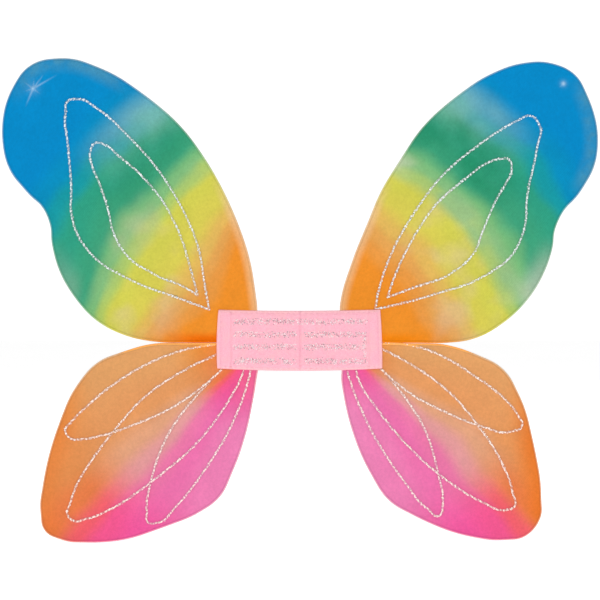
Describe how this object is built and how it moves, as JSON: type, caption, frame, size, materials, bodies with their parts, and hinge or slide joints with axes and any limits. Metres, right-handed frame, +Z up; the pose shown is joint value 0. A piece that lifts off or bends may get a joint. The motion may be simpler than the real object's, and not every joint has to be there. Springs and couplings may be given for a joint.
{
  "type": "fairy wings",
  "caption": "Child's dress-up fairy wings: sheer dyed nylon over four bent wire loops, glitter line decoration, folding felt centre panel and elastic shoulder loops.",
  "frame": {"origin": "centre of the felt panel's back face, where it lies against the wearer's back", "axes": "+Z up as worn, +Y towards the wearer's back, +X towards the wings' right tip seen from their decorated side; the decorated side faces -Y"},
  "size_m": [0.5004, 0.0618, 0.4067],
  "materials": {
    "wire": "plain drawn steel wire",
    "upper_nylon": "sheer stretch nylon knit, dyed blue to green to yellow to orange",
    "lower_nylon": "sheer stretch nylon knit, dyed orange to pink",
    "glitter": "silver glitter in clear glue",
    "felt": "soft brushed pink felt",
    "tape": "woven cloth tape",
    "elastic": "flat ribbed elastic",
    "thread": "twisted sewing thread"
  },
  "bodies": {
    "root": {"crease_back_felt": "felt", "crease_front_felt": "felt", "crease_glitter": "glitter", "crease_stitches": "thread"},
    "left_half": {"left_back_felt": "felt", "left_bar_tacks": "thread", "left_binding_tape": "tape", "left_front_felt": "felt", "left_lower_cover": "lower_nylon", "left_lower_gather_tie": "thread", "left_lower_vein_inner": "glitter", "left_lower_vein_middle": "glitter", "left_lower_vein_upper": "glitter", "left_lower_wire": "wire", "left_panel_glitter": "glitter", "left_panel_stitches": "thread", "left_strap_ends": "elastic", "left_upper_cover": "upper_nylon", "left_upper_gather_tie": "thread", "left_upper_vein_inner": "glitter", "left_upper_vein_outer": "glitter", "left_upper_wire": "wire"},
    "right_half": {"right_back_felt": "felt", "right_bar_tacks": "thread", "right_binding_tape": "tape", "right_front_felt": "felt", "right_lower_cover": "lower_nylon", "right_lower_gather_tie": "thread", "right_lower_vein_inner": "glitter", "right_lower_vein_middle": "glitter", "right_lower_vein_upper": "glitter", "right_lower_wire": "wire", "right_panel_glitter": "glitter", "right_panel_stitches": "thread", "right_strap_ends": "elastic", "right_upper_cover": "upper_nylon", "right_upper_gather_tie": "thread", "right_upper_vein_inner": "glitter", "right_upper_vein_outer": "glitter", "right_upper_wire": "wire"},
    "left_strap": {"left_strap_loop": "elastic"},
    "right_strap": {"right_strap_loop": "elastic"}
  },
  "joints": [
    {"name": "left_wing_fold", "type": "hinge", "parent": "root", "child": "left_half", "pos_m": [-0.0025, -0.006, 0], "axis": [0, 0, 1], "range_deg": [0, 90]},
    {"name": "right_wing_fold", "type": "hinge", "parent": "root", "child": "right_half", "pos_m": [0.0025, -0.006, 0], "axis": [0, 0, -1], "range_deg": [0, 90]},
    {"name": "left_strap_swing", "type": "hinge", "parent": "left_half", "child": "left_strap", "pos_m": [-0.062, 0.003, 0], "axis": [0, 0, 1], "range_deg": [-75, 75]},
    {"name": "right_strap_swing", "type": "hinge", "parent": "right_half", "child": "right_strap", "pos_m": [0.062, 0.003, 0], "axis": [0, 0, -1], "range_deg": [-75, 75]}
  ]
}
